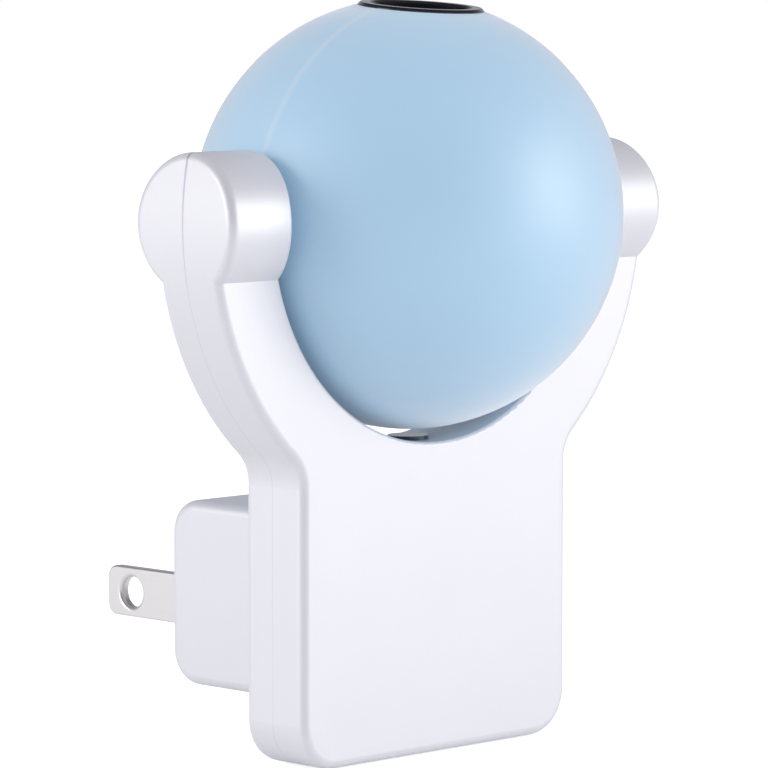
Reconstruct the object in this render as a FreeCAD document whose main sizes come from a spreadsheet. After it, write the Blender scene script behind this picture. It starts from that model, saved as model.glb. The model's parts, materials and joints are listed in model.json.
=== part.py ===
import FreeCAD, Part
import math
import os
import Sketcher

# Plug-in projector night light: a forked housing that plugs into the wall and a ball that tilts in the fork.
# Every piece is drawn about the tilt axis: X along the axis, -Y to the front, +Z up.
# The row's origin is the middle between the blades, on the face that meets the outlet.

Vector = FreeCAD.Vector
Rotation = FreeCAD.Rotation
doc = FreeCAD.newDocument("NightLight")

# Driving dimensions in millimetres and degrees
SIZES = {
    # Place of the tilt axis and its travel
    "pivotDepth": 30.4,
    "globeTilt": 5.0,
    "tiltForward": 95.0,
    "tiltBack": 50.0,
    # Ball
    "globeRadius": 26.0,
    "globeWall": 1.6,
    "lipWall": 0.75,
    "lipHeight": 1.2,
    "lipClearance": 0.05,
    "ribWidth": 10.0,
    "ribThickness": 1.4,
    "ribBelowTop": 3.3,
    "ribClearance": 0.05,
    # Half stubs of the ball, which join to the two hollow axles
    "axleRadius": 4.0,
    "axleWall": 1.6,
    "hubShoulder": 1.0,
    "hubGap": 0.3,
    "axleFlangeGap": 1.0,
    "axleFlangeThickness": 1.4,
    "stopTabWidth": 1.6,
    "stopTabReach": 0.8,
    "stopClearance": 1.4,
    "stopRibGap": 0.2,
    "runningClearance": 0.05,
    # Fork
    "cradleGap": 1.3,
    "armWidth": 9.6,
    "frontDepth": 5.3,
    "rearDepth": 4.8,
    "bodyHalfWidth": 22.7,
    "bodyHeight": 37.8,
    "bottomCorner": 5.5,
    "neckRadius": 5.0,
    "bossRadius": 8.4,
    "housingWall": 1.8,
    "bossEndWall": 2.8,
    "edgeRound": 1.1,
    "cradleRound": 0.4,
    # Plug block, whose heights are from the blades' middle
    "bladesBelowCradle": 22.2,
    "plugHalfWidth": 11.4,
    "plugBelow": 9.7,
    "plugAbove": 13.4,
    "plugCorner": 4.3,
    "plugEdgeRound": 1.3,
    "plugWall": 1.8,
    "plugFloor": 3.0,
    # Blades, two flat pins of the 1-15 pattern
    "bladeSpacing": 12.7,
    "bladeWidth": 6.35,
    "bladeThickness": 1.5,
    "bladeReach": 16.5,
    "bladeHoleRadius": 1.95,
    "bladeHoleReach": 12.0,
    "bladeTipRound": 1.5,
    "bladeTipBevel": 0.4,
    "bladeTail": 10.5,
    "bladeSlotClearance": 0.05,
    # Carrier that clamps the blades inside the plug block
    "carrierSideGap": 0.4,
    "carrierHeight": 14.0,
    "carrierDepth": 5.0,
    "carrierScrewPitch": 9.6,
    "carrierScrewFloor": 1.0,
    # Screws
    "screwRadius": 1.15,
    "screwHeadRadius": 2.1,
    "screwHeadHeight": 1.3,
    "screwClearance": 0.05,
    "screwRecess": 1.5,
    "screwBite": 3.0,
    "postRadius": 2.6,
    "postInset": 5.4,
    "postAboveBottom": 5.8,
    "postBelowCradle": 9.2,
    "screwTipGap": 0.4,
    "driveDepth": 0.6,
    "driveShare": 0.8,
    "smallScrewRadius": 0.8,
    "smallHeadRadius": 1.5,
    "smallHeadHeight": 0.9,
    # Circuit board and what stands on it
    "boardSideGap": 1.1,
    "boardBelowCradle": 8.7,
    "boardAboveBottom": 5.1,
    "boardThickness": 1.6,
    "standoffHeight": 0.9,
    "standoffRadius": 2.2,
    "boardScrewInset": 2.3,
    "boardScrewDrop": 13.0,
    "capacitorThickness": 5.0,
    "capacitorDepth": 11.0,
    "capacitorRise": 5.6,
    "capacitorRound": 0.5,
    "canRadius": 3.15,
    "canHeight": 7.0,
    "canBelowTop": 7.6,
    "canCrimpShare": 0.2,
    "diodeRadius": 1.35,
    "diodeLength": 4.1,
    "resistorRadius": 1.1,
    "resistorLength": 6.0,
    "legRadius": 0.3,
    "legHeight": 0.4,
    "partPitch": 2.9,
    "partInset": 4.5,
    "partSideGap": 1.25,
    "partScrewGap": 1.2,
    "partStagger": 0.8,
    "partDrop": 2.0,
    "transistorRadius": 2.3,
    "transistorDepth": 3.6,
    "transistorLength": 4.5,
    "transistorInset": 1.6,
    "transistorRise": 1.0,
    "transistorLegPitch": 1.27,
    "transistorLegLength": 1.6,
    "photocellRadius": 2.5,
    "photocellHeight": 2.0,
    "photocellLegSide": 1.3,
    "windowRadius": 2.5,
    "windowRim": 0.4,
    "windowRimHeight": 0.8,
    "windowProud": 0.5,
    "windowClearance": 0.05,
    # Friction washers
    "washerThickness": 0.8,
    "washerGap": 0.05,
    "washerSideGap": 0.3,
    # Leads
    "mainsLeadRadius": 0.9,
    "lampLeadRadius": 0.6,
    "leadLanding": 2.5,
    "leadLeaveAngle": 228.0,
    "lampLeadGap": 0.1,
    "leadJointGap": 0.3,
    # Optics, along the lens axis from the ring downwards
    "ringSink": 0.75,
    "ringThickness": 1.0,
    "ringOverhang": 0.65,
    "ringBevel": 0.3,
    "ringClearance": 0.05,
    "barrelRadius": 6.95,
    "barrelWall": 1.0,
    "barrelLength": 17.25,
    "barrelStepWidth": 0.75,
    "lensDepth": 5.65,
    "lensEdge": 1.4,
    "lensBulge": 0.9,
    "lensClearance": 0.03,
    "retainerThickness": 1.2,
    "retainerWidth": 0.95,
    "retainerBevel": 0.4,
    "tubeWall": 1.62,
    "tubeOverlap": 8.0,
    "tubeClearance": 0.03,
    "tubeGroove": 0.6,
    "slideSpace": 2.5,
    "slideShelfDepth": 6.0,
    "slideShelfWidth": 1.35,
    "slideThickness": 0.25,
    "slideHolderWall": 1.0,
    "slideHolderLip": 0.8,
    "slideHolderLap": 0.4,
    "slideClearance": 0.05,
    "domeGap": 0.1,
    "condenserEdge": 1.0,
    "condenserBulge": 2.0,
    "condenserClip": 0.8,
    "condenserClipWall": 0.9,
    "lampSpace": 6.3,
    "ledBoardThickness": 1.2,
    "ledSize": 3.5,
    "ledBase": 0.8,
    "ledDome": 1.5,
    "sinkBase": 1.5,
    "sinkFinHeight": 3.5,
    "sinkFinThickness": 1.0,
    "sinkFinPitch": 3.0,
    "sinkFinInset": 1.8,
    "lampScrewRadius": 0.5,
    "lampScrewInset": 0.8,
    "lampScrewBite": 4.0,
    "lampHeadRadius": 1.0,
    "lampHeadHeight": 0.7,
    "globeLeadRadius": 0.6,
    "globeLeadGap": 0.1,
    "globeLeadPast": 2.6,
    "globeLeadTurn": 3.0,
    # How far a cutting tool runs past what it cuts, and how far a rooted part sinks in
    "toolPast": 1.0,
    "rootSink": 0.1,
}

sheet = doc.addObject("Spreadsheet::Sheet", "Sizes")
for row, (alias, size) in enumerate(SIZES.items(), start=1):
    sheet.set(f"A{row}", alias)
    sheet.set(f"B{row}", str(size))
    sheet.setAlias(f"B{row}", alias)
doc.recompute()


class Size:
    """A size with its value and the formula, over the sheet's cells, that works it out."""

    def __init__(self, value, text):
        self.value = float(value)
        self.text = text

    def __add__(self, other):
        other = as_size(other)
        return Size(self.value + other.value, f"({self.text} + {other.text})")

    def __radd__(self, other):
        return as_size(other) + self

    def __sub__(self, other):
        other = as_size(other)
        return Size(self.value - other.value, f"({self.text} - {other.text})")

    def __rsub__(self, other):
        return as_size(other) - self

    def __mul__(self, other):
        other = as_size(other)
        return Size(self.value * other.value, f"({self.text} * {other.text})")

    def __rmul__(self, other):
        return as_size(other) * self

    def __truediv__(self, other):
        other = as_size(other)
        return Size(self.value / other.value, f"({self.text} / {other.text})")

    def __neg__(self):
        return Size(-self.value, f"(0 - {self.text})")


def as_size(number):
    return number if isinstance(number, Size) else Size(number, repr(float(number)))


def root(size):
    return Size(math.sqrt(size.value), f"sqrt({size.text})")


def sine(angle):
    return Size(math.sin(math.radians(angle.value)), f"sin({angle.text} * 1 deg)")


def cosine(angle):
    return Size(math.cos(math.radians(angle.value)), f"cos({angle.text} * 1 deg)")


class Cells:
    """The sheet's sizes by name."""

    def __getattr__(self, alias):
        return Size(sheet.get(alias), f"Sizes.{alias}")


d = Cells()

# Sizes that follow from the driving ones
past = d.toolPast
cradle_radius = d.globeRadius + d.cradleGap
fork_radius = cradle_radius + d.armWidth
body_drop = cradle_radius + d.bodyHeight
blade_drop = cradle_radius + d.bladesBelowCradle
outlet_face = d.pivotDepth
boss_inside = cradle_radius + d.housingWall
boss_cavity_end = fork_radius - d.bossEndWall
boss_cavity_radius = d.bossRadius - d.housingWall
flange_start = boss_inside + d.washerThickness + 2 * d.washerGap
flange_end = flange_start + d.axleFlangeThickness
axle_flange_radius = boss_cavity_radius - d.axleFlangeGap
axle_bore = d.axleRadius - d.axleWall
hub_radius = d.axleRadius + d.hubShoulder
tab_end = axle_flange_radius + d.stopTabReach
plug_top = -blade_drop + d.plugAbove
plug_bottom = -blade_drop - d.plugBelow
plug_inside = outlet_face - d.plugFloor
plug_side = d.plugHalfWidth - d.plugWall
post_side = d.bodyHalfWidth - d.postInset
post_low = body_drop - d.postAboveBottom
post_high = cradle_radius + d.postBelowCradle
board_half = post_side - d.postRadius - d.boardSideGap
board_top = cradle_radius + d.boardBelowCradle
board_bottom = body_drop - d.boardAboveBottom
board_screw_side = board_half - d.boardScrewInset
part_side = board_half - d.partInset
capacitor_half = part_side - d.diodeRadius - d.partSideGap
board_screw_drop = board_top + d.boardScrewDrop
board_front = -(d.frontDepth - d.housingWall) + d.standoffHeight
board_rear = board_front + d.boardThickness
ring_top = d.globeRadius - d.ringSink
ring_bottom = ring_top - d.ringThickness
ring_radius = d.barrelRadius + d.ringOverhang
barrel_bottom = ring_top - d.barrelLength
barrel_bore = d.barrelRadius - d.barrelWall
barrel_step = barrel_bore - d.barrelStepWidth
lens_seat = ring_top - d.lensDepth
retainer_bore = barrel_bore - d.retainerWidth
tube_inside = d.barrelRadius + d.tubeClearance
tube_radius = tube_inside + d.tubeWall
tube_top = barrel_bottom + d.tubeOverlap
rib_height = tube_top - d.ribBelowTop
slide_shelf = barrel_bottom - d.slideSpace
shelf_low = slide_shelf - d.slideShelfDepth
slide_bore = d.barrelRadius - d.slideShelfWidth
tube_bottom = shelf_low - d.lampSpace
sink_top = tube_bottom - d.ledBoardThickness

pieces = {}


def bind(thing, name, size):
    """Ties a property to a size's formula."""
    thing.setExpression(name, as_size(size).text)


def place(thing, x=0, y=0, z=0):
    for axis, size in zip("xyz", (x, y, z)):
        bind(thing, f"Placement.Base.{axis}", size)


def keep(name, thing, tilted=False):
    """Names a finished piece and puts it at the tilt axis, turned with the ball if it belongs to it."""
    thing.Label = name
    if tilted:
        thing.Placement = FreeCAD.Placement(Vector(0, 0, 0), Rotation(Vector(1, 0, 0), d.globeTilt.value))
        bind(thing, "Placement.Rotation.Angle", d.globeTilt)
    place(thing, 0, -outlet_face, blade_drop)
    pieces[name] = thing


# Primitives and booleans


def block(name, x, y, z):
    """A box between pairs of sizes along X, Y and Z."""
    thing = doc.addObject("Part::Box", name)
    for side, (low, high) in zip(("Length", "Width", "Height"), (x, y, z)):
        bind(thing, side, high - low)
    place(thing, x[0], y[0], z[0])
    return thing


AIMS = {
    "X": Rotation(Vector(0, 1, 0), 90),
    "Y": Rotation(Vector(1, 0, 0), -90),
    "Z": Rotation(Vector(0, 0, 1), 45),
}


def rod(name, aim, radius, low, high, first=0, second=0):
    """A cylinder along an axis, from low to high, with its other two coordinates in X, Y, Z order."""
    thing = doc.addObject("Part::Cylinder", name)
    thing.Placement = FreeCAD.Placement(Vector(0, 0, 0), AIMS[aim])
    bind(thing, "Radius", radius)
    bind(thing, "Height", high - low)
    base = [first, second]
    base.insert("XYZ".index(aim), low)
    place(thing, *base)
    return thing


def ball(name, radius, seam=0):
    """A sphere about the middle, with its seam turned by an angle about Z."""
    thing = doc.addObject("Part::Sphere", name)
    thing.Placement = FreeCAD.Placement(Vector(0, 0, 0), Rotation(Vector(0, 0, 1), seam))
    bind(thing, "Radius", radius)
    return thing


def fuse(name, *things):
    thing = doc.addObject("Part::MultiFuse", name)
    thing.Shapes = list(things)
    return thing


def group(name, *things):
    """Separate solids that share one node."""
    thing = doc.addObject("Part::Compound", name)
    thing.Links = list(things)
    return thing


def common(name, *things):
    thing = doc.addObject("Part::MultiCommon", name)
    thing.Shapes = list(things)
    return thing


def cut(name, base, *tools):
    thing = doc.addObject("Part::Cut", name)
    thing.Base = base
    thing.Tool = tools[0] if len(tools) == 1 else fuse(name + "Tools", *tools)
    return thing


# Bodies, sketches and features


def new_body(name):
    return doc.addObject("PartDesign::Body", name)


def sketch_on(body, role, name, offset=None):
    """A sketch on one of the body's own origin planes, moved along its normal by offset."""
    sketch = body.newObject("Sketcher::SketchObject", name)
    plane = [feature for feature in body.Origin.OriginFeatures if feature.Role == role][0]
    sketch.AttachmentSupport = [(plane, "")]
    sketch.MapMode = "FlatFace"
    if offset is not None:
        bind(sketch, "AttachmentOffset.Base.z", offset)
    return sketch


def limit(sketch, *constraint, size):
    """Adds a dimension that follows a size."""
    number = sketch.addConstraint(Sketcher.Constraint(*constraint, as_size(size).value))
    bind(sketch, f"Constraints[{number}]", size)


def flat(point):
    return Vector(as_size(point[0]).value, as_size(point[1]).value, 0)


def polygon(sketch, corners):
    """A closed outline of straight sides with every corner placed by its sizes."""
    first = sketch.GeometryCount
    count = len(corners)
    for index in range(count):
        side = Part.LineSegment(flat(corners[index]), flat(corners[(index + 1) % count]))
        sketch.addGeometry(side, False)
    for index in range(count):
        here = first + index
        after = first + (index + 1) % count
        sketch.addConstraint(Sketcher.Constraint("Coincident", here, 2, after, 1))
    for index, (across, up) in enumerate(corners):
        limit(sketch, "DistanceX", -1, 1, first + index, 1, size=across)
        limit(sketch, "DistanceY", -1, 1, first + index, 1, size=up)


def circle(sketch, radius, centre=(0, 0)):
    round_edge = Part.Circle(flat(centre), Vector(0, 0, 1), as_size(radius).value)
    index = sketch.addGeometry(round_edge, False)
    limit(sketch, "Radius", index, size=radius)
    limit(sketch, "DistanceX", -1, 1, index, 3, size=centre[0])
    limit(sketch, "DistanceY", -1, 1, index, 3, size=centre[1])


def arc(sketch, centre, radius, start, end):
    """An arc between two angles in radians, anticlockwise; returns its number."""
    whole = Part.Circle(flat(centre), Vector(0, 0, 1), radius.value)
    return sketch.addGeometry(Part.ArcOfCircle(whole, start, end), False)


def line(sketch, start, end):
    return sketch.addGeometry(Part.LineSegment(start, end), False)


def join(sketch, kind, first, first_end, second, second_end):
    sketch.addConstraint(Sketcher.Constraint(kind, first, first_end, second, second_end))


def fork_outline(sketch, inset):
    """The fork seen from the front: cradle, two arms, necks and the body with its round corners."""
    inner = cradle_radius + inset
    outer = fork_radius - inset
    half = d.bodyHalfWidth - inset
    corner = d.bottomCorner - inset
    neck = d.neckRadius + inset
    neck_side = half + neck
    reach = (outer + neck) * (outer + neck)
    neck_height = -root(reach - neck_side * neck_side)
    low = -body_drop + inset
    turn = math.atan2(neck_height.value, neck_side.value)
    quarter = math.pi / 2
    cradle = arc(sketch, (0, 0), inner, math.pi, 2 * math.pi)
    right_top = line(sketch, flat((inner, 0)), flat((outer, 0)))
    right_arm = arc(sketch, (0, 0), outer, turn, 0)
    right_neck = arc(sketch, (neck_side, neck_height), neck, turn + math.pi, math.pi)
    right_side = line(sketch, flat((half, neck_height)), flat((half, low + corner)))
    right_corner = arc(sketch, (half - corner, low + corner), corner, -quarter, 0)
    bottom = line(sketch, flat((half - corner, low)), flat((corner - half, low)))
    left_corner = arc(sketch, (corner - half, low + corner), corner, math.pi, 3 * quarter)
    left_side = line(sketch, flat((-half, low + corner)), flat((-half, neck_height)))
    left_neck = arc(sketch, (-neck_side, neck_height), neck, 0, -turn)
    left_arm = arc(sketch, (0, 0), outer, math.pi, math.pi - turn)
    left_top = line(sketch, flat((-outer, 0)), flat((-inner, 0)))
    for kind, first, first_end, second, second_end in (
        ("Coincident", cradle, 2, right_top, 1),
        ("Coincident", right_top, 2, right_arm, 2),
        ("Tangent", right_arm, 1, right_neck, 1),
        ("Tangent", right_neck, 2, right_side, 1),
        ("Tangent", right_side, 2, right_corner, 2),
        ("Tangent", right_corner, 1, bottom, 1),
        ("Tangent", bottom, 2, left_corner, 2),
        ("Tangent", left_corner, 1, left_side, 1),
        ("Tangent", left_side, 2, left_neck, 1),
        ("Tangent", left_neck, 2, left_arm, 2),
        ("Coincident", left_arm, 1, left_top, 1),
        ("Coincident", left_top, 2, cradle, 1),
    ):
        join(sketch, kind, first, first_end, second, second_end)
    for index in (cradle, right_arm, left_arm):
        join(sketch, "Coincident", index, 3, -1, 1)
    for index in (right_top, left_top):
        sketch.addConstraint(Sketcher.Constraint("PointOnObject", index, 1, -1))
        sketch.addConstraint(Sketcher.Constraint("PointOnObject", index, 2, -1))
    for index in (right_side, left_side):
        sketch.addConstraint(Sketcher.Constraint("Vertical", index))
    sketch.addConstraint(Sketcher.Constraint("Horizontal", bottom))
    for index, radius in ((cradle, inner), (right_arm, outer), (right_neck, neck), (right_corner, corner)):
        limit(sketch, "Radius", index, size=radius)
    sketch.addConstraint(Sketcher.Constraint("Equal", right_arm, left_arm))
    sketch.addConstraint(Sketcher.Constraint("Equal", right_neck, left_neck))
    sketch.addConstraint(Sketcher.Constraint("Equal", right_corner, left_corner))
    limit(sketch, "DistanceX", -1, 1, right_side, 1, size=half)
    limit(sketch, "DistanceX", -1, 1, left_side, 2, size=-half)
    limit(sketch, "DistanceY", -1, 1, bottom, 1, size=low)


def trim_outline(sketch, side):
    """The waste beyond an arm's round outer face, beside the boss on one side."""
    tall = d.bossRadius + past
    across = root(fork_radius * fork_radius - tall * tall)
    away = fork_radius + 4 * past
    turn = math.atan2(tall.value, across.value)
    middle = 0.0 if side > 0 else math.pi
    rim = arc(sketch, (0, 0), fork_radius, middle - turn, middle + turn)
    near_low, near_high = (1, 2) if side > 0 else (2, 1)
    low_side = line(sketch, flat((side * across, -tall)), flat((side * away, -tall)))
    back = line(sketch, flat((side * away, -tall)), flat((side * away, tall)))
    high_side = line(sketch, flat((side * away, tall)), flat((side * across, tall)))
    join(sketch, "Coincident", rim, near_low, low_side, 1)
    join(sketch, "Coincident", low_side, 2, back, 1)
    join(sketch, "Coincident", back, 2, high_side, 1)
    join(sketch, "Coincident", high_side, 2, rim, near_high)
    join(sketch, "Coincident", rim, 3, -1, 1)
    limit(sketch, "Radius", rim, size=fork_radius)
    limit(sketch, "DistanceX", -1, 1, back, 1, size=side * away)
    limit(sketch, "DistanceY", -1, 1, back, 1, size=-tall)
    limit(sketch, "DistanceX", -1, 1, back, 2, size=side * away)
    limit(sketch, "DistanceY", -1, 1, back, 2, size=tall)
    sketch.addConstraint(Sketcher.Constraint("Horizontal", low_side))
    sketch.addConstraint(Sketcher.Constraint("Horizontal", high_side))


def pad(body, sketch, length, backwards=False):
    feature = body.newObject("PartDesign::Pad", sketch.Name + "Pad")
    feature.Profile = sketch
    bind(feature, "Length", length)
    feature.Reversed = backwards
    return feature


def pocket(body, sketch, length, backwards=False):
    """Cuts along the sketch's normal, or against it."""
    feature = body.newObject("PartDesign::Pocket", sketch.Name + "Pocket")
    feature.Profile = sketch
    bind(feature, "Length", length)
    feature.Reversed = not backwards
    return feature


def turned(body, kind, sketch):
    """A full turn of the sketch about its own X axis."""
    feature = body.newObject("PartDesign::" + kind, sketch.Name + kind)
    feature.Profile = sketch
    feature.ReferenceAxis = (sketch, ["H_Axis"])
    feature.Angle = 360
    return feature


def round_edges(body, name, radius, chosen):
    """Rounds the edges of the body so far for which chosen(edge) is true."""
    doc.recompute()
    tip = body.Tip
    names = [f"Edge{number}" for number, edge in enumerate(tip.Shape.Edges, start=1) if chosen(edge)]
    feature = body.newObject("PartDesign::Fillet", name)
    feature.Base = (tip, names)
    bind(feature, "Radius", radius)
    doc.recompute()
    return feature


def samples(edge):
    """Three points along an edge."""
    first, last = edge.ParameterRange
    return [edge.valueAt(first + (last - first) * share) for share in (0.1, 0.5, 0.9)]


# Housing


def screw_places():
    for side in (-1, 1):
        for drop in (post_low, post_high):
            yield side * post_side, -drop


def stop_rib(body, name, angle):
    """A rib in the left boss that stops the axle's tab; angle is from straight down towards the rear."""
    near = axle_flange_radius + d.stopRibGap
    far = boss_cavity_radius + d.housingWall / 4
    half = d.stopTabWidth / 2
    across, down = sine(angle), -cosine(angle)
    sketch = sketch_on(body, "YZ_Plane", name, -flange_end)
    corners = []
    for reach, side in ((near, -half), (far, -half), (far, half), (near, half)):
        corners.append((across * reach - down * side, down * reach + across * side))
    polygon(sketch, corners)
    pad(body, sketch, d.axleFlangeThickness)


def fork_shell(name, front):
    """One half of the fork's housing, open at the parting plane through the tilt axis."""
    depth = d.frontDepth if front else d.rearDepth
    body = new_body(name)
    outline = sketch_on(body, "XZ_Plane", name + "Outline")
    fork_outline(outline, as_size(0))
    pad(body, outline, depth, backwards=not front)

    bosses = sketch_on(body, "XZ_Plane", name + "Bosses")
    for side in (-1, 1):
        low, high = side * (cradle_radius - 2 * past), side * (fork_radius + past / 2)
        polygon(bosses, [(low, 0), (low, d.bossRadius), (high, d.bossRadius), (high, 0)])
    turned(body, "Revolution", bosses)

    tall = 2 * (d.bossRadius + 2 * past)
    cradle = sketch_on(body, "XZ_Plane", name + "Cradle", -(d.bossRadius + past))
    circle(cradle, cradle_radius)
    pocket(body, cradle, tall)
    trim = sketch_on(body, "XZ_Plane", name + "Trim", -(d.bossRadius + past))
    for side in (-1, 1):
        trim_outline(trim, side)
    pocket(body, trim, tall)

    wide = fork_radius + 2 * past
    other = sketch_on(body, "XZ_Plane", name + "OtherHalf")
    up = d.bossRadius + past
    polygon(other, [(-wide, -up), (wide, -up), (wide, up), (-wide, up)])
    pocket(body, other, up, backwards=front)
    return body


def all_near(values, target):
    return all(abs(value - target.value) < 0.01 for value in values)


def shell_edges(front, at_cradle):
    """Chooses the edge round the fork's face and the bosses' rims, or the cradle's edge."""
    face = -d.frontDepth if front else d.rearDepth

    def chosen(edge):
        points = samples(edge)
        spread = [math.hypot(point.x, point.z) for point in points]
        on_face = all_near([point.y for point in points], face)
        on_boss = all_near([math.hypot(point.y, point.z) for point in points], d.bossRadius)
        on_cradle = all_near(spread, cradle_radius)
        if at_cradle:
            return on_cradle and (on_face or on_boss)
        on_rim = all_near(spread, fork_radius)
        return (on_rim and on_boss) or (on_face and not on_cradle and not on_boss)

    return chosen


def hollow_shell(body, name, front):
    """Hollows a half housing and adds its posts, bearing seats and the window's seat."""
    depth = d.frontDepth if front else d.rearDepth
    inside = sketch_on(body, "XZ_Plane", name + "Inside")
    fork_outline(inside, d.housingWall)
    pocket(body, inside, depth - d.housingWall, backwards=not front)

    seats = sketch_on(body, "XZ_Plane", name + "Seats")
    bearing = d.axleRadius + d.runningClearance
    for side in (-1, 1):
        start, step, end = side * (cradle_radius - 3 * past), side * boss_inside, side * boss_cavity_end
        polygon(seats, [
            (start, 0),
            (start, bearing),
            (step, bearing),
            (step, boss_cavity_radius),
            (end, boss_cavity_radius),
            (end, 0),
        ])
    turned(body, "Groove", seats)

    posts = sketch_on(body, "XZ_Plane", name + "Posts")
    for across, up in screw_places():
        circle(posts, d.postRadius, (across, up))
    pad(body, posts, depth - d.housingWall / 2, backwards=not front)

    window = sketch_on(body, "XY_Plane", name + "Window", -(boss_inside + past))
    circle(window, d.windowRadius + d.windowClearance)
    pocket(body, window, d.housingWall + 2 * past)


front_housing = fork_shell("FrontHousing", front=True)
round_edges(front_housing, "FrontRound", d.edgeRound, shell_edges(True, False))
round_edges(front_housing, "FrontCradleRound", d.cradleRound, shell_edges(True, True))
hollow_shell(front_housing, "Front", front=True)

pilot_holes = sketch_on(front_housing, "XZ_Plane", "PilotHoles")
for across, up in screw_places():
    circle(pilot_holes, d.screwRadius + d.screwClearance, (across, up))
pocket(front_housing, pilot_holes, d.screwBite + d.screwTipGap)

standoffs = sketch_on(front_housing, "XZ_Plane", "Standoffs", -board_front)
for side in (-1, 1):
    circle(standoffs, d.standoffRadius, (side * board_screw_side, -board_screw_drop))
pad(front_housing, standoffs, d.standoffHeight + d.housingWall / 2)
standoff_holes = sketch_on(front_housing, "XZ_Plane", "StandoffHoles", -board_front)
for side in (-1, 1):
    circle(standoff_holes, d.smallScrewRadius + d.screwClearance, (side * board_screw_side, -board_screw_drop))
pocket(front_housing, standoff_holes, d.standoffHeight + d.housingWall / 2)
stop_radius = axle_flange_radius + d.stopTabReach / 2
half_turn = d.stopTabWidth / stop_radius * math.degrees(1) + d.stopClearance
stop_rib(front_housing, "FrontStop", d.globeTilt - d.tiltBack - half_turn)
keep("front_housing", front_housing)

# Rear housing with the plug block


def plug_outline(sketch, inset, floor):
    """The plug block seen from the side, with its two round rear corners."""
    top, bottom = plug_top - inset, plug_bottom + inset
    end = outlet_face - floor
    start = d.rearDepth - d.housingWall / 2
    corner = d.plugCorner - inset
    quarter = math.pi / 2
    lower = line(sketch, flat((start, bottom)), flat((end - corner, bottom)))
    lower_corner = arc(sketch, (end - corner, bottom + corner), corner, -quarter, 0)
    back = line(sketch, flat((end, bottom + corner)), flat((end, top - corner)))
    upper_corner = arc(sketch, (end - corner, top - corner), corner, 0, quarter)
    upper = line(sketch, flat((end - corner, top)), flat((start, top)))
    front = line(sketch, flat((start, top)), flat((start, bottom)))
    join(sketch, "Tangent", lower, 2, lower_corner, 1)
    join(sketch, "Tangent", lower_corner, 2, back, 1)
    join(sketch, "Tangent", back, 2, upper_corner, 1)
    join(sketch, "Tangent", upper_corner, 2, upper, 1)
    join(sketch, "Coincident", upper, 2, front, 1)
    join(sketch, "Coincident", front, 2, lower, 1)
    sketch.addConstraint(Sketcher.Constraint("Horizontal", lower))
    sketch.addConstraint(Sketcher.Constraint("Horizontal", upper))
    sketch.addConstraint(Sketcher.Constraint("Vertical", back))
    sketch.addConstraint(Sketcher.Constraint("Vertical", front))
    limit(sketch, "Radius", lower_corner, size=corner)
    sketch.addConstraint(Sketcher.Constraint("Equal", lower_corner, upper_corner))
    limit(sketch, "DistanceX", -1, 1, lower, 1, size=start)
    limit(sketch, "DistanceY", -1, 1, lower, 1, size=bottom)
    limit(sketch, "DistanceX", -1, 1, back, 1, size=end)
    limit(sketch, "DistanceY", -1, 1, upper, 1, size=top)


def plug_edge(edge):
    """Chooses the edges round the plug block's two side faces."""
    half = d.plugHalfWidth.value
    return all(abs(abs(point.x) - half) < 0.01 and point.y > d.rearDepth.value + 0.01 for point in samples(edge))


rear_housing = fork_shell("RearHousing", front=False)
round_edges(rear_housing, "RearRound", d.edgeRound, shell_edges(False, False))
round_edges(rear_housing, "RearCradleRound", d.cradleRound, shell_edges(False, True))
plug = sketch_on(rear_housing, "YZ_Plane", "Plug", -d.plugHalfWidth)
plug_outline(plug, as_size(0), as_size(0))
pad(rear_housing, plug, 2 * d.plugHalfWidth)
round_edges(rear_housing, "PlugRound", d.plugEdgeRound, plug_edge)
hollow_shell(rear_housing, "Rear", front=False)

plug_cavity = sketch_on(rear_housing, "XZ_Plane", "PlugCavity")
polygon(plug_cavity, [
    (-plug_side, plug_bottom + d.plugWall),
    (plug_side, plug_bottom + d.plugWall),
    (plug_side, plug_top - d.plugWall),
    (-plug_side, plug_top - d.plugWall),
])
pocket(rear_housing, plug_cavity, plug_inside, backwards=True)

blade_slots = sketch_on(rear_housing, "XZ_Plane", "BladeSlots")
slot_half = d.bladeThickness / 2 + d.bladeSlotClearance
slot_tall = d.bladeWidth / 2 + d.bladeSlotClearance
for side in (-1, 1):
    middle = side * d.bladeSpacing / 2
    polygon(blade_slots, [
        (middle - slot_half, -blade_drop - slot_tall),
        (middle + slot_half, -blade_drop - slot_tall),
        (middle + slot_half, slot_tall - blade_drop),
        (middle - slot_half, slot_tall - blade_drop),
    ])
pocket(rear_housing, blade_slots, outlet_face + past, backwards=True)

screw_holes = sketch_on(rear_housing, "XZ_Plane", "ScrewHoles")
for across, up in screw_places():
    circle(screw_holes, d.screwRadius + d.screwClearance, (across, up))
pocket(rear_housing, screw_holes, d.rearDepth + past, backwards=True)
head_holes = sketch_on(rear_housing, "XZ_Plane", "HeadHoles", -(d.rearDepth - d.screwRecess))
for across, up in screw_places():
    circle(head_holes, d.screwHeadRadius + 2 * d.screwClearance, (across, up))
pocket(rear_housing, head_holes, d.screwRecess + past, backwards=True)

carrier_bite = d.plugFloor - d.carrierScrewFloor
carrier_holes = sketch_on(rear_housing, "XZ_Plane", "CarrierHoles", -plug_inside)
for side in (-1, 1):
    circle(carrier_holes, d.smallScrewRadius + d.screwClearance, (0, side * d.carrierScrewPitch / 2 - blade_drop))
pocket(rear_housing, carrier_holes, carrier_bite, backwards=True)
stop_rib(rear_housing, "RearStop", d.globeTilt + d.tiltForward + half_turn)
keep("rear_housing", rear_housing)

# Blades


def blade_tip(edge):
    """Chooses the two corner edges across the blade's tip."""
    tip = (outlet_face + d.bladeReach).value
    points = samples(edge)
    return all(abs(point.y - tip) < 0.01 for point in points) and abs(points[0].z - points[2].z) < 0.01


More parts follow.
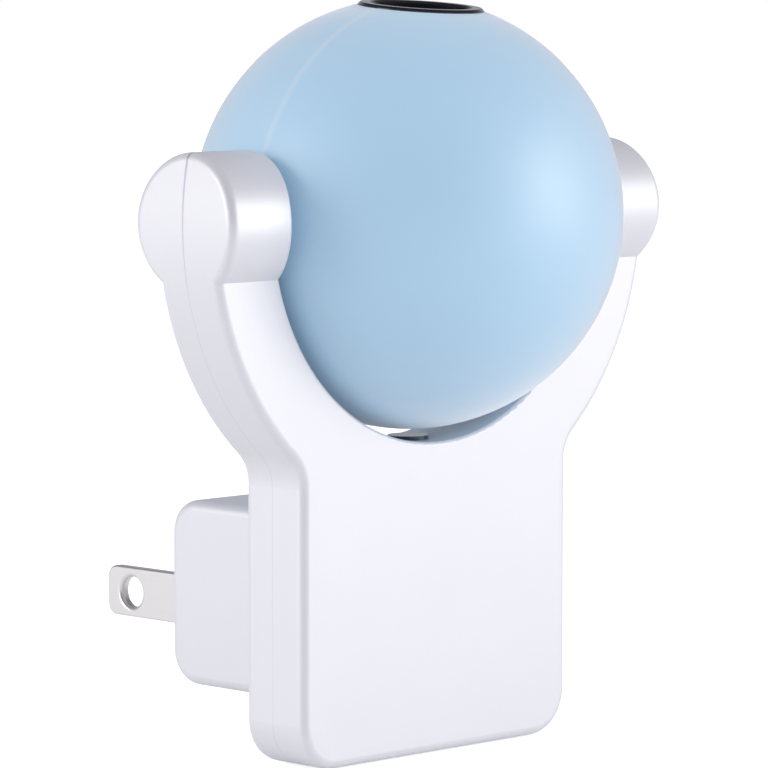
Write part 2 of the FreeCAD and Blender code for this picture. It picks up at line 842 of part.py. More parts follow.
def add_blade(name, side):
    body = new_body(name.title().replace("_", ""))
    middle = side * d.bladeSpacing / 2
    start = plug_inside - d.bladeTail
    tip = outlet_face + d.bladeReach
    low, high = -blade_drop - d.bladeWidth / 2, d.bladeWidth / 2 - blade_drop
    strip = sketch_on(body, "YZ_Plane", name + "Strip", middle - d.bladeThickness / 2)
    polygon(strip, [(start, low), (tip, low), (tip, high), (start, high)])
    pad(body, strip, d.bladeThickness)
    hole = sketch_on(body, "YZ_Plane", name + "Hole", middle - d.bladeThickness / 2)
    circle(hole, d.bladeHoleRadius, (outlet_face + d.bladeHoleReach, -blade_drop))
    pocket(body, hole, d.bladeThickness)
    round_edges(body, name + "TipRound", d.bladeTipRound, blade_tip)
    bevel = sketch_on(body, "XY_Plane", name + "TipBevel", -blade_drop - d.bladeWidth)
    for way in (-1, 1):
        face = middle + way * d.bladeThickness / 2
        polygon(bevel, [
            (face, tip - 2 * d.bladeTipBevel),
            (face, tip),
            (face - way * d.bladeTipBevel, tip),
        ])
    pocket(body, bevel, 2 * d.bladeWidth)
    keep(name, body)


add_blade("live_blade", -1)
add_blade("neutral_blade", 1)

carrier = new_body("BladeCarrier")
carrier_low = -blade_drop - d.carrierHeight / 2
carrier_high = d.carrierHeight / 2 - blade_drop
carrier_block = sketch_on(carrier, "XZ_Plane", "CarrierBlock", -(plug_inside - d.carrierDepth))
carrier_half = plug_side - d.carrierSideGap
polygon(carrier_block, [
    (-carrier_half, carrier_low),
    (carrier_half, carrier_low),
    (carrier_half, carrier_high),
    (-carrier_half, carrier_high),
])
pad(carrier, carrier_block, d.carrierDepth, backwards=True)
carrier_slots = sketch_on(carrier, "XZ_Plane", "CarrierSlots", -(plug_inside - d.carrierDepth))
for side in (-1, 1):
    middle = side * d.bladeSpacing / 2
    polygon(carrier_slots, [
        (middle - slot_half, -blade_drop - slot_tall),
        (middle + slot_half, -blade_drop - slot_tall),
        (middle + slot_half, slot_tall - blade_drop),
        (middle - slot_half, slot_tall - blade_drop),
    ])
    circle(carrier_slots, d.smallScrewRadius + d.screwClearance, (0, side * d.carrierScrewPitch / 2 - blade_drop))
pocket(carrier, carrier_slots, d.carrierDepth, backwards=True)
keep("blade_carrier", carrier)


def between(first, second):
    """Two sizes with the lower one first."""
    return (first, second) if first.value < second.value else (second, first)


def screw(name, x, z, radius, head_radius, head_height, seat, length, towards_front):
    """A pan-head screw along Y with a round drive recess; seat is where its head rests."""
    way = -1 if towards_front else 1
    top = seat - way * head_height
    shank = rod(name + "Shank", "Y", radius, *between(seat, seat + way * length), x, z)
    head = rod(name + "Head", "Y", head_radius, *between(seat, top), x, z)
    drive = rod(name + "Drive", "Y", radius * d.driveShare, *between(top + way * head_height * d.driveDepth, top), x, z)
    return cut(name, fuse(name + "Whole", shank, head), drive)


screws = []
for number, (across, up) in enumerate(screw_places(), start=1):
    seat = d.rearDepth - d.screwRecess
    screws.append(screw(f"HousingScrew{number}", across, up, d.screwRadius, d.screwHeadRadius,
                        d.screwHeadHeight, seat, seat + d.screwBite, True))
keep("housing_screws", group("HousingScrews", *screws))

screws = []
for number, side in enumerate((-1, 1), start=1):
    up = side * d.carrierScrewPitch / 2 - blade_drop
    screws.append(screw(f"CarrierScrew{number}", as_size(0), up, d.smallScrewRadius, d.smallHeadRadius,
                        d.smallHeadHeight, plug_inside - d.carrierDepth, d.carrierDepth + carrier_bite - d.screwTipGap,
                        False))
keep("carrier_screws", group("CarrierScrews", *screws))

screws = []
for number, side in enumerate((-1, 1), start=1):
    screws.append(screw(f"BoardScrew{number}", side * board_screw_side, -board_screw_drop, d.smallScrewRadius,
                        d.smallHeadRadius, d.smallHeadHeight, board_rear, d.boardThickness + d.standoffHeight, True))
keep("board_screws", group("BoardScrews", *screws))

# Circuit board and its parts

board = block("Board", (-board_half, board_half), (board_front, board_rear), (-board_bottom, -board_top))
board_holes = [
    rod(f"BoardHole{number}", "Y", d.smallScrewRadius + d.screwClearance, board_front - past, board_rear + past,
        side * board_screw_side, -board_screw_drop)
    for number, side in enumerate((-1, 1), start=1)
]
keep("circuit_board", cut("CircuitBoard", board, *board_holes))



def upright(edge):
    """Chooses the edges of a case that stand up from the board."""
    points = samples(edge)
    return abs(points[2].y - points[0].y) > d.capacitorRound.value


capacitor = new_body("DropperCapacitor")
case = sketch_on(capacitor, "XZ_Plane", "CapacitorCase", -board_rear)
capacitor_middle = d.capacitorRise - board_bottom
case_low = capacitor_middle - d.capacitorThickness / 2
case_high = capacitor_middle + d.capacitorThickness / 2
polygon(case, [
    (-capacitor_half, case_low),
    (capacitor_half, case_low),
    (capacitor_half, case_high),
    (-capacitor_half, case_high),
])
pad(capacitor, case, d.capacitorDepth, backwards=True)
round_edges(capacitor, "CapacitorRound", d.capacitorRound, upright)
keep("dropper_capacitor", capacitor)

can_drop = board_top + d.canBelowTop
can = rod("Can", "Y", d.canRadius, board_rear, board_rear + d.canHeight, 0, -can_drop)
crimp = doc.addObject("Part::Torus", "CanCrimp")
crimp.Placement = FreeCAD.Placement(Vector(0, 0, 0), AIMS["Y"])
bind(crimp, "Radius1", d.canRadius * 1.05)
bind(crimp, "Radius2", d.canRadius / 9)
place(crimp, 0, board_rear + d.canHeight * d.canCrimpShare, -can_drop)
keep("smoothing_capacitor", cut("CrimpedCan", can, crimp))


def axial_part(name, radius, length, x, low):
    """A two-legged part that lies along Z just off the board."""
    centre = board_rear + d.legHeight + radius
    case = rod(name + "Case", "Z", radius, low, low + length, x, centre)
    legs = []
    for leg, height in (("Lower", low - d.legRadius), ("Upper", low + length + d.legRadius)):
        legs.append(rod(name + leg, "Y", d.legRadius, board_rear, centre + d.legRadius, x, height))
    reach = rod(name + "Wire", "Z", d.legRadius, low - d.legRadius, low + length + d.legRadius, x, centre)
    return fuse(name, case, reach, *legs)


diode_low = -board_screw_drop - d.smallHeadRadius - d.partScrewGap - d.diodeLength
diode_high = -board_screw_drop + d.smallHeadRadius + d.partScrewGap
diodes = []
for row, low in (("Low", diode_low), ("High", diode_high)):
    for column in (0, 1):
        side = -(part_side + column * d.partPitch)
        diodes.append(axial_part(f"Diode{row}{column}", d.diodeRadius, d.diodeLength, side, low))
keep("rectifier_diodes", group("RectifierDiodes", *diodes))

resistors = []
for number, (side, low) in enumerate((
    (part_side, diode_high),
    (part_side + d.partPitch, diode_high),
    (part_side - d.partStagger, diode_low - d.partDrop),
), start=1):
    resistors.append(axial_part(f"Resistor{number}", d.resistorRadius, d.resistorLength, side, low))
keep("resistors", group("Resistors", *resistors))

transistor_low = -board_bottom + d.transistorRise
transistor_high = transistor_low + d.transistorLength
transistor_side = board_half - d.transistorInset
transistor_axis = board_rear + d.transistorDepth - d.transistorRadius
transistor_round = rod("TransistorRound", "Z", d.transistorRadius, transistor_low, transistor_high,
                       transistor_side, transistor_axis)
transistor_flat = block(
    "TransistorFlat",
    (transistor_side - 2 * d.transistorRadius, transistor_side + 2 * d.transistorRadius),
    (board_rear, board_rear + d.transistorDepth + past),
    (transistor_low, transistor_high),
)
transistor_legs = []
for number in (-1, 0, 1):
    transistor_legs.append(rod(f"TransistorLeg{number + 1}", "Z", d.legRadius, transistor_high - d.rootSink,
                               transistor_high + d.transistorLegLength,
                               transistor_side + number * d.transistorLegPitch, board_rear + d.legRadius))
keep("sensing_transistor", fuse("Transistor", common("TransistorCase", transistor_round, transistor_flat),
                                *transistor_legs))

# Photocell under the cradle and the window over it

window_top = -(cradle_radius - d.windowProud)
rim_top = -boss_inside
rim_bottom = rim_top - d.windowRimHeight
window = rod("WindowStem", "Z", d.windowRadius, rim_bottom, window_top, 0, 0)
window_rim = rod("WindowRim", "Z", d.windowRadius + d.windowRim, rim_bottom, rim_top, 0, 0)
keep("photocell_window", fuse("PhotocellWindow", window, window_rim))

cell_top = rim_bottom
cell_bottom = cell_top - d.photocellHeight
cell = rod("CellDisc", "Z", d.photocellRadius, cell_bottom, cell_top, 0, 0)
cell_legs = []
for side in (-1, 1):
    leg_name = "CellLeg" + ("Left" if side < 0 else "Right")
    cell_legs.append(rod(leg_name, "Z", d.legRadius, -board_top - d.leadLanding, cell_bottom + d.rootSink,
                         side * d.photocellLegSide, board_rear + d.legRadius))
keep("photocell", fuse("Photocell", cell, *cell_legs))

# Leads in the base

mains = []
for side in (-1, 1):
    middle = side * d.bladeSpacing / 2
    mains.append(rod("MainsLead" + ("Live" if side < 0 else "Neutral"), "Y", d.mainsLeadRadius,
                     board_rear, plug_inside - d.bladeTail, middle, -blade_drop))
keep("mains_leads", group("MainsLeads", *mains))


def swept(path, radius, first_point, first_way):
    """A round wire along a path of lines and arcs."""
    ring = Part.Wire(Part.makeCircle(radius, first_point, first_way))
    return Part.Wire(path).makePipeShell([ring], True, False)


def lamp_lead(depth):
    """A lead from the board up the left arm to the axle's end, in a plane of one depth."""
    climb = (boss_cavity_end - d.lampLeadRadius).value
    turn = climb - (flange_end + d.leadJointGap).value
    arm = math.hypot(climb, turn)
    leave = math.radians(d.leadLeaveAngle.value)
    foot = Vector(arm * math.cos(leave), depth, arm * math.sin(leave))
    along = Vector(math.sin(leave), 0, -math.cos(leave))
    start = foot - along * (((board_top + d.leadLanding).value + foot.z) / along.z)
    knee = Vector(-climb, depth, -turn)
    middle_angle = (leave + math.atan2(-turn, -climb) + 2 * math.pi) / 2
    middle = Vector(arm * math.cos(middle_angle), depth, arm * math.sin(middle_angle))
    slant = turn * math.sqrt(0.5)
    inner = Vector(-climb + turn - slant, depth, -turn + slant)
    end = Vector(-climb + turn, depth, 0)
    path = [
        Part.LineSegment(start, foot).toShape(),
        Part.Arc(foot, middle, knee).toShape(),
        Part.Arc(knee, inner, end).toShape(),
    ]
    return swept(path, d.lampLeadRadius.value, start, along)


lead_pitch = 2 * d.lampLeadRadius.value + d.lampLeadGap.value
lead_depth = board_rear.value + d.lampLeadRadius.value
lamp_leads = doc.addObject("Part::Feature", "LampLeads")
lamp_leads.Shape = Part.makeCompound([lamp_lead(lead_depth), lamp_lead(lead_depth + lead_pitch)])
keep("lamp_leads", lamp_leads)

# Washers that give the tilt its friction

washers = []
for side in (-1, 1):
    name = "Washer" + ("Left" if side < 0 else "Right")
    near, far = boss_inside + d.washerGap, flange_start - d.washerGap
    low, high = (near, far) if side > 0 else (-far, -near)
    outside = rod(name + "Disc", "X", boss_cavity_radius - d.washerSideGap, low, high)
    inside = rod(name + "Bore", "X", d.axleRadius + d.runningClearance, low - past, high + past)
    washers.append(cut(name, outside, inside))
keep("friction_washers", group("FrictionWashers", *washers))

# Ball: two half shells with half of each hollow axle


def globe_blank(name, seam):
    """The whole ball with both axles, before it is split."""
    hub_end = root((cradle_radius * cradle_radius) - (hub_radius * hub_radius)) - d.hubGap
    stub_start = d.globeRadius - 2 * d.globeWall
    solids = [ball(name + "Outside", d.globeRadius, seam)]
    for side in (-1, 1):
        tag = name + ("Left" if side < 0 else "Right")
        for part_name, radius, start, end in (
            ("Hub", hub_radius, stub_start, hub_end),
            ("Axle", d.axleRadius, stub_start, flange_start + d.rootSink),
            ("Flange", axle_flange_radius, flange_start, flange_end),
        ):
            low, high = (start, end) if side > 0 else (-end, -start)
            solids.append(rod(tag + part_name, "X", radius, low, high))
    return fuse(name + "Blank", *solids)


def rib_block(name, front):
    """A rib inside a half shell that grips the projector tube's groove."""
    way = -1 if front else 1
    near, far = way * (tube_radius - d.tubeGroove + d.ribClearance), way * d.globeRadius
    low, high = (far, near) if front else (near, far)
    slab = block(
        name + "Slab",
        (-d.ribWidth / 2, d.ribWidth / 2),
        (low, high),
        (rib_height - d.ribThickness / 2, rib_height + d.ribThickness / 2),
    )
    inside = ball(name + "Reach", d.globeRadius - d.globeWall / 2)
    return common(name, slab, inside)


def globe_shell(label, name, front):
    """One half of the ball, with the tongue on the front half and its groove on the rear one."""
    reach = flange_end + past
    low, high = (-reach, as_size(0)) if front else (as_size(0), reach)
    half = block(name + "Half", (-reach, reach), (low, high), (-reach, reach))
    seam = 90 if front else -90
    hollow = ball(name + "Inside", d.globeRadius - d.globeWall, seam)
    bore = rod(name + "Bore", "X", axle_bore, -reach, reach)
    mouth = rod(name + "Mouth", "Z", d.barrelRadius + d.ringClearance, as_size(0), d.globeRadius + past)
    seat = rod(name + "RingSeat", "Z", ring_radius + d.ringClearance, ring_bottom, d.globeRadius + past)
    tools = [hollow, bore, mouth, seat]
    inner = d.globeRadius - d.globeWall
    tongue_outside = inner + d.lipWall
    if not front:
        tools.append(rod(name + "Rebate", "Y", tongue_outside + d.lipClearance, -past, d.lipHeight + d.lipClearance))
    shell = cut(name + "Shell", common(name + "HalfBlank", globe_blank(name, seam), half), *tools)
    pieces_of_shell = [shell, rib_block(name + "Rib", front)]
    if front:
        ring = cut(
            name + "Tongue",
            rod(name + "TongueOutside", "Y", tongue_outside, -d.lipHeight / 2, d.lipHeight),
            rod(name + "TongueInside", "Y", inner, -past, d.lipHeight + past),
            rod(name + "TongueMouth", "Z", ring_radius + past / 2, as_size(0), d.globeRadius + past),
            rod(name + "TongueAxle", "X", hub_radius + past / 2, -reach, reach),
        )
        pieces_of_shell.append(ring)
    tab_side = (-d.stopTabWidth / 2, as_size(0)) if front else (as_size(0), d.stopTabWidth / 2)
    tab = block(name + "StopTab", (-flange_end, -flange_start), tab_side, (-tab_end, -d.axleRadius))
    pieces_of_shell.append(tab)
    keep(label, fuse(name, *pieces_of_shell), tilted=True)


globe_shell("front_globe_shell", "FrontGlobe", True)
globe_shell("rear_globe_shell", "RearGlobe", False)

# Optics


def turned_piece(label, corners):
    """A body turned about the lens axis from corners of radius and height."""
    body = new_body(label.title().replace("_", ""))
    sketch = sketch_on(body, "XZ_Plane", label + "Profile")
    polygon(sketch, corners)
    feature = body.newObject("PartDesign::Revolution", label + "Turn")
    feature.Profile = sketch
    feature.ReferenceAxis = (sketch, ["V_Axis"])
    feature.Angle = 360
    return body


keep("lens_barrel", turned_piece("lens_barrel", [
    (barrel_step, barrel_bottom),
    (d.barrelRadius, barrel_bottom),
    (d.barrelRadius, ring_bottom),
    (ring_radius, ring_bottom),
    (ring_radius, ring_top - d.ringBevel),
    (ring_radius - d.ringBevel, ring_top),
    (barrel_bore + d.ringBevel, ring_top),
    (barrel_bore, ring_top - d.ringBevel),
    (barrel_bore, lens_seat),
    (barrel_step, lens_seat),
]), tilted=True)

retainer_low = lens_seat + d.lensEdge
retainer_high = retainer_low + d.retainerThickness
lens_radius = barrel_bore - d.lensClearance
keep("lens_retaining_ring", turned_piece("lens_retaining_ring", [
    (retainer_bore, retainer_low),
    (lens_radius, retainer_low),
    (lens_radius, retainer_high),
    (retainer_bore + d.retainerBevel, retainer_high),
]), tilted=True)


def lens(label, name, radius, low, edge, dome_radius, bulge):
    """A lens with a flat back and a domed front."""
    disc = rod(name + "Edge", "Z", radius, low, low + edge)
    curve = (dome_radius * dome_radius + bulge * bulge) / (2 * bulge)
    dome = ball(name + "Dome", curve)
    place(dome, 0, 0, low + edge + bulge - curve)
    reach = rod(name + "Reach", "Z", dome_radius, low + edge / 2, low + edge + bulge + past)
    keep(label, fuse(name, disc, common(name + "Cap", dome, reach)), tilted=True)


lens("projection_lens", "ProjectionLens", lens_radius, lens_seat, d.lensEdge, retainer_bore - d.domeGap, d.lensBulge)

groove_low = rib_height - d.ribThickness / 2 - d.ribClearance
groove_high = rib_height + d.ribThickness / 2 + d.ribClearance
tube_body = turned_piece("projector_tube", [
    (slide_bore, shelf_low),
    (tube_inside, shelf_low),
    (tube_inside, tube_bottom),
    (tube_radius, tube_bottom),
    (tube_radius, groove_low),
    (tube_radius - d.tubeGroove, groove_low),
    (tube_radius - d.tubeGroove, groove_high),
    (tube_radius, groove_high),
    (tube_radius, tube_top),
    (tube_inside, tube_top),
    (tube_inside, slide_shelf),
    (slide_bore, slide_shelf),
])
lamp_hole = d.lampScrewRadius + d.screwClearance
lamp_places = [side * (tube_radius - d.lampScrewInset) for side in (-1, 1)]
lamp_hole_top = tube_bottom + d.lampScrewBite + d.screwTipGap
tube_holes = [
    rod(f"TubeHole{number}", "Z", lamp_hole, tube_bottom - past, lamp_hole_top, side, 0)
    for number, side in enumerate(lamp_places, start=1)
]
keep("projector_tube", cut("ProjectorTubeBody", tube_body, *tube_holes), tilted=True)

holder_top = barrel_bottom - d.slideClearance
holder_bore = d.barrelRadius - d.slideHolderWall
holder_lip = slide_bore - d.slideHolderLap
slide_low = slide_shelf + d.slideHolderLip
slide_high = slide_low + d.slideThickness
keep("slide_holder", turned_piece("slide_holder", [
    (holder_lip, slide_shelf),
    (d.barrelRadius, slide_shelf),
    (d.barrelRadius, holder_top),
    (holder_bore, holder_top),
    (holder_bore, slide_low),
    (holder_lip, slide_low),
]), tilted=True)
slide_film = rod("SlideFilm", "Z", holder_bore - d.slideClearance, slide_low, slide_high)
keep("image_slide", group("ImageSlide", slide_film), tilted=True)

condenser_low = shelf_low - d.condenserEdge
lens("condenser_lens", "CondenserLens", d.barrelRadius, condenser_low, d.condenserEdge,
     slide_bore - d.domeGap, d.condenserBulge)
clip_low = condenser_low - d.condenserClip
keep("condenser_clip", turned_piece("condenser_clip", [
    (d.barrelRadius - d.condenserClipWall, clip_low),
    (d.barrelRadius, clip_low),
    (d.barrelRadius, condenser_low),
    (d.barrelRadius - d.condenserClipWall, condenser_low),
]), tilted=True)

# Light source

led_plate = rod("LedPlate", "Z", tube_radius, sink_top, tube_bottom)
plate_holes = [
    rod(f"LedPlateHole{number}", "Z", lamp_hole, sink_top - past, tube_bottom + past, side, as_size(0))
    for number, side in enumerate(lamp_places, start=1)
]
keep("led_board", cut("LedBoard", led_plate, *plate_holes), tilted=True)

led_half = d.ledSize / 2
led_top = tube_bottom + d.ledBase
led_base = block("LedBase", (-led_half, led_half), (-led_half, led_half), (tube_bottom, led_top))
led_dome_ball = ball("LedDomeBall", d.ledDome)
place(led_dome_ball, 0, 0, led_top)
led_dome_reach = rod("LedDomeReach", "Z", d.ledDome, led_top - d.rootSink, led_top + d.ledDome + past)
keep("led", fuse("Led", led_base, common("LedDome", led_dome_ball, led_dome_reach)), tilted=True)

sink_low = sink_top - d.sinkBase
sink_disc = rod("SinkDisc", "Z", tube_radius, sink_low, sink_top)
fin_low = sink_low - d.sinkFinHeight
fin_round = rod("FinRound", "Z", tube_radius - d.sinkFinInset, fin_low, sink_low + d.rootSink)
fins = []
for number in (-2, -1, 0, 1, 2):
    middle = number * d.sinkFinPitch
    fins.append(block(f"Fin{number + 3}", (middle - d.sinkFinThickness / 2, middle + d.sinkFinThickness / 2),
                      (-tube_radius, tube_radius), (fin_low, sink_low + d.rootSink)))
fin_set = common("FinSet", fin_round, fuse("FinRow", *fins))
sink_holes = [
    rod(f"SinkHole{number}", "Z", lamp_hole, fin_low, sink_top + past, side, as_size(0))
    for number, side in enumerate(lamp_places, start=1)
]
keep("led_heatsink", cut("LedHeatsink", fuse("Sink", sink_disc, fin_set), *sink_holes), tilted=True)

lamp_screws = []
for number, side in enumerate(lamp_places, start=1):
    name = f"LampScrew{number}"
    head_low = sink_low - d.lampHeadHeight
    shank = rod(name + "Shank", "Z", d.lampScrewRadius, sink_low, tube_bottom + d.lampScrewBite, side, as_size(0))
    head = rod(name + "Head", "Z", d.lampHeadRadius, head_low, sink_low, side, as_size(0))
    lamp_screws.append(fuse(name, shank, head))
keep("lamp_screws", group("LampScrews", *lamp_screws), tilted=True)


def globe_lead(depth):
    """A lead from the left axle's end down to the edge of the light source's board."""
    start = Vector(-flange_end.value, depth, 0)
    drop = (tube_bottom - d.globeLeadPast).value
    edge = -(tube_radius + d.globeLeadRadius + d.globeLeadGap).value
    turn = d.globeLeadTurn.value
    slant = turn * math.sqrt(0.5)
    bend = Vector(edge - turn, depth, 0)
    below = Vector(edge, depth, -turn)
    inner = Vector(edge - turn + slant, depth, -turn + slant)
    end = Vector(edge, depth, drop)
    path = [
        Part.LineSegment(start, bend).toShape(),
        Part.Arc(bend, inner, below).toShape(),
        Part.LineSegment(below, end).toShape(),
    ]
    return swept(path, d.globeLeadRadius.value, start, Vector(1, 0, 0))


globe_lead_depth = (2 * d.globeLeadRadius.value + d.lampLeadGap.value) / 2
globe_leads = doc.addObject("Part::Feature", "GlobeLeads")
globe_leads.Shape = Part.makeCompound([globe_lead(-globe_lead_depth), globe_lead(globe_lead_depth)])
keep("globe_leads", globe_leads, tilted=True)

# Checks of every object, then one file for each piece

doc.recompute()
for thing in doc.Objects:
    for fault in ("Invalid", "Error"):
        if fault in thing.State:
            raise RuntimeError(f"{thing.Name} is {fault}: {thing.State}")

os.makedirs("parts", exist_ok=True)
for name, thing in pieces.items():
    shape = thing.Shape
    if shape.isNull() or not shape.isValid():
        raise RuntimeError(f"{name} has no sound shape")
    box = shape.BoundBox
    print(f"{name}: {len(shape.Solids)} solids, {shape.Volume:.1f} mm3, {len(shape.Faces)} faces, "
          f"x {box.XMin:.2f} {box.XMax:.2f} y {box.YMin:.2f} {box.YMax:.2f} z {box.ZMin:.2f} {box.ZMax:.2f}")
    shape.exportStep(f"parts/{name}.step")
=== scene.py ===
# Plug-in night light: pearl fork, frosted projector ball, nickel blades
import bpy
import bmesh
import json
from mathutils import Matrix, Vector


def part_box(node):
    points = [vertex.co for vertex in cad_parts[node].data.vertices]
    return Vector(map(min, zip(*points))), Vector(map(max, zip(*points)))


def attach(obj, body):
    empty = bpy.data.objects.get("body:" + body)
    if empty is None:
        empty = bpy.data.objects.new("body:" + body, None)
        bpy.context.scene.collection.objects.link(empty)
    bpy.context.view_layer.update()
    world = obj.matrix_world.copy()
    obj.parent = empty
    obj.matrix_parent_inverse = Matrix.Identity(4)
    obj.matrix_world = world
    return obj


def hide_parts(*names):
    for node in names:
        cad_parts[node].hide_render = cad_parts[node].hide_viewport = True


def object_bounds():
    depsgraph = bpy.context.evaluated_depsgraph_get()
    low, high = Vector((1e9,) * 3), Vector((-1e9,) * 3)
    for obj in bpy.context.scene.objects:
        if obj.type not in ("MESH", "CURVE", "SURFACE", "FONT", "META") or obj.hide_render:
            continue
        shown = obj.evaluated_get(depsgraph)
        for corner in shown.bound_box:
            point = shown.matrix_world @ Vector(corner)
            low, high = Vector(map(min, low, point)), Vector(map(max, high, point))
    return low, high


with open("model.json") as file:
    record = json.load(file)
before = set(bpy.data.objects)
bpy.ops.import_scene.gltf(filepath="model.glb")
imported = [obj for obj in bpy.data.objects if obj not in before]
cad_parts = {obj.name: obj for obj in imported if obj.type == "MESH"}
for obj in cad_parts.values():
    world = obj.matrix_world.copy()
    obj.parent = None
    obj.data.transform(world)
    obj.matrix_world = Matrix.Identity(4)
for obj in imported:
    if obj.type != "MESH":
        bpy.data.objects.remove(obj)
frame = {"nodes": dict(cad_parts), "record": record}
cadBox = [list(corner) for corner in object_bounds()]
print("frame loaded:", len(frame["nodes"]), "nodes")

scene = bpy.context.scene


def placeObject(name, data):
    thing = bpy.data.objects.new(name, data)
    scene.collection.objects.link(thing)
    return thing


def turnTowards(thing, way):
    thing.rotation_euler = Vector(way).to_track_quat("-Z", "Y").to_euler()


# The camera stands where the photograph was taken from
cameraSettings = {
    "place": (-0.392549, -0.418365, 0.078947),
    "aim": (0.70465, 0.70377, -0.09042),
    "lens": 214.45,
    "sensor": 36.0,
    "near": 0.01,
    "far": 20.0,
}


def makeCamera(settings):
    data = bpy.data.cameras.new("photoCamera")
    data.lens = settings["lens"]
    data.sensor_width = settings["sensor"]
    data.clip_start = settings["near"]
    data.clip_end = settings["far"]
    scene.camera = placeObject("photoCamera", data)
    scene.camera.location = settings["place"]
    turnTowards(scene.camera, settings["aim"])


makeCamera(cameraSettings)
print("camera placed")


# Short helpers for shader trees
def newTree(name):
    material = bpy.data.materials.new(name)
    material.use_nodes = True
    tree = material.node_tree
    return material, tree, tree.nodes["Principled BSDF"]


def addNode(tree, kind, **values):
    node = tree.nodes.new(kind)
    for key, value in values.items():
        setattr(node, key, value)
    return node


def feed(tree, socket, value):
    # A plain number or colour goes on the socket itself, anything else is linked to it
    if isinstance(value, (int, float, tuple)):
        socket.default_value = value
    else:
        tree.links.new(value, socket)


def mathNode(tree, operation, first, second):
    node = addNode(tree, "ShaderNodeMath", operation=operation)
    feed(tree, node.inputs[0], first)
    feed(tree, node.inputs[1], second)
    return node.outputs[0]


def vectorNode(tree, operation, first, second):
    node = addNode(tree, "ShaderNodeVectorMath", operation=operation)
    feed(tree, node.inputs[0], first)
    feed(tree, node.inputs[1], second)
    return node


def mixColor(tree, factor, first, second):
    node = addNode(tree, "ShaderNodeMix", data_type="RGBA")
    colorSockets = (0, 6, 7)  # the factor and the two colours
    for index, value in zip(colorSockets, (factor, first, second)):
        feed(tree, node.inputs[index], value)
    return node.outputs[2]


def mapRange(tree, value, start=0.0, end=1.0, low=0.0, high=1.0, curve="SMOOTHSTEP"):
    node = addNode(tree, "ShaderNodeMapRange", interpolation_type=curve)
    labels = ("Value", "From Min", "From Max", "To Min", "To Max")
    for label, given in zip(labels, (value, start, end, low, high)):
        feed(tree, node.inputs[label], given)
    return node.outputs[0]


def newGroup(name, inputs, outputs):
    group = bpy.data.node_groups.new(name, "ShaderNodeTree")
    for label, kind, default in inputs:
        socket = group.interface.new_socket(name=label, in_out="INPUT", socket_type=kind)
        socket.default_value = default
    for label, kind in outputs:
        group.interface.new_socket(name=label, in_out="OUTPUT", socket_type=kind)
    return group, group.nodes.new("NodeGroupInput"), group.nodes.new("NodeGroupOutput")


# Effects that several materials share, each a node group
noiseSettings = {
    "mottleDetail": 3.0,
    "grainDetail": 2.0,
    "streakDetail": 4.0,
    "middle": 0.5,
}
skinOutputs = [("Color", "NodeSocketColor"), ("Roughness", "NodeSocketFloat"), ("Height", "NodeSocketFloat")]


def addNoise(group, place, scale, detail):
    noise = addNode(group, "ShaderNodeTexNoise")
    for label, value in (("Vector", place), ("Scale", scale), ("Detail", detail)):
        feed(group, noise.inputs[label], value)
    return noise.outputs["Fac"]


def varyRoughness(group, given, result, noise):
    # The noise swings the roughness by its spread and gives the relief's height
    swing = mathNode(group, "SUBTRACT", noise, noiseSettings["middle"])
    spread = mathNode(group, "MULTIPLY", swing, given.outputs["Roughness Spread"])
    feed(group, result.inputs["Roughness"], mathNode(group, "ADD", given.outputs["Roughness"], spread))
    feed(group, result.inputs["Height"], noise)


def mouldedGrain():
    # The faint mottle and pebble of a moulded plastic skin
    group, given, result = newGroup("mouldedGrain", [
        ("Color", "NodeSocketColor", (0.8, 0.8, 0.8, 1)),
        ("Deep Color", "NodeSocketColor", (0.7, 0.7, 0.7, 1)),
        ("Mottle Scale", "NodeSocketFloat", 60.0),
        ("Grain Scale", "NodeSocketFloat", 2500.0),
        ("Roughness", "NodeSocketFloat", 0.4),
        ("Roughness Spread", "NodeSocketFloat", 0.05),
    ], skinOutputs)
    place = group.nodes.new("ShaderNodeTexCoord").outputs["Object"]
    mottle = addNoise(group, place, given.outputs["Mottle Scale"], noiseSettings["mottleDetail"])
    grain = addNoise(group, place, given.outputs["Grain Scale"], noiseSettings["grainDetail"])
    feed(group, result.inputs["Color"],
         mixColor(group, mottle, given.outputs["Color"], given.outputs["Deep Color"]))
    varyRoughness(group, given, result, grain)
    return group


def drawnMetal():
    # Fine streaks along one axis, as plating shows over rolled strip
    group, given, result = newGroup("drawnMetal", [
        ("Color", "NodeSocketColor", (0.7, 0.7, 0.7, 1)),
        ("Streak Color", "NodeSocketColor", (0.6, 0.6, 0.6, 1)),
        ("Stretch", "NodeSocketVector", (4000.0, 120.0, 4000.0)),
        ("Roughness", "NodeSocketFloat", 0.3),
        ("Roughness Spread", "NodeSocketFloat", 0.15),
    ], skinOutputs)
    place = group.nodes.new("ShaderNodeTexCoord").outputs["Object"]
    stretch = vectorNode(group, "MULTIPLY", place, given.outputs["Stretch"])
    streak = addNoise(group, stretch.outputs[0], 1.0, noiseSettings["streakDetail"])
    feed(group, result.inputs["Color"],
         mixColor(group, streak, given.outputs["Color"], given.outputs["Streak Color"]))
    varyRoughness(group, given, result, streak)
    return group


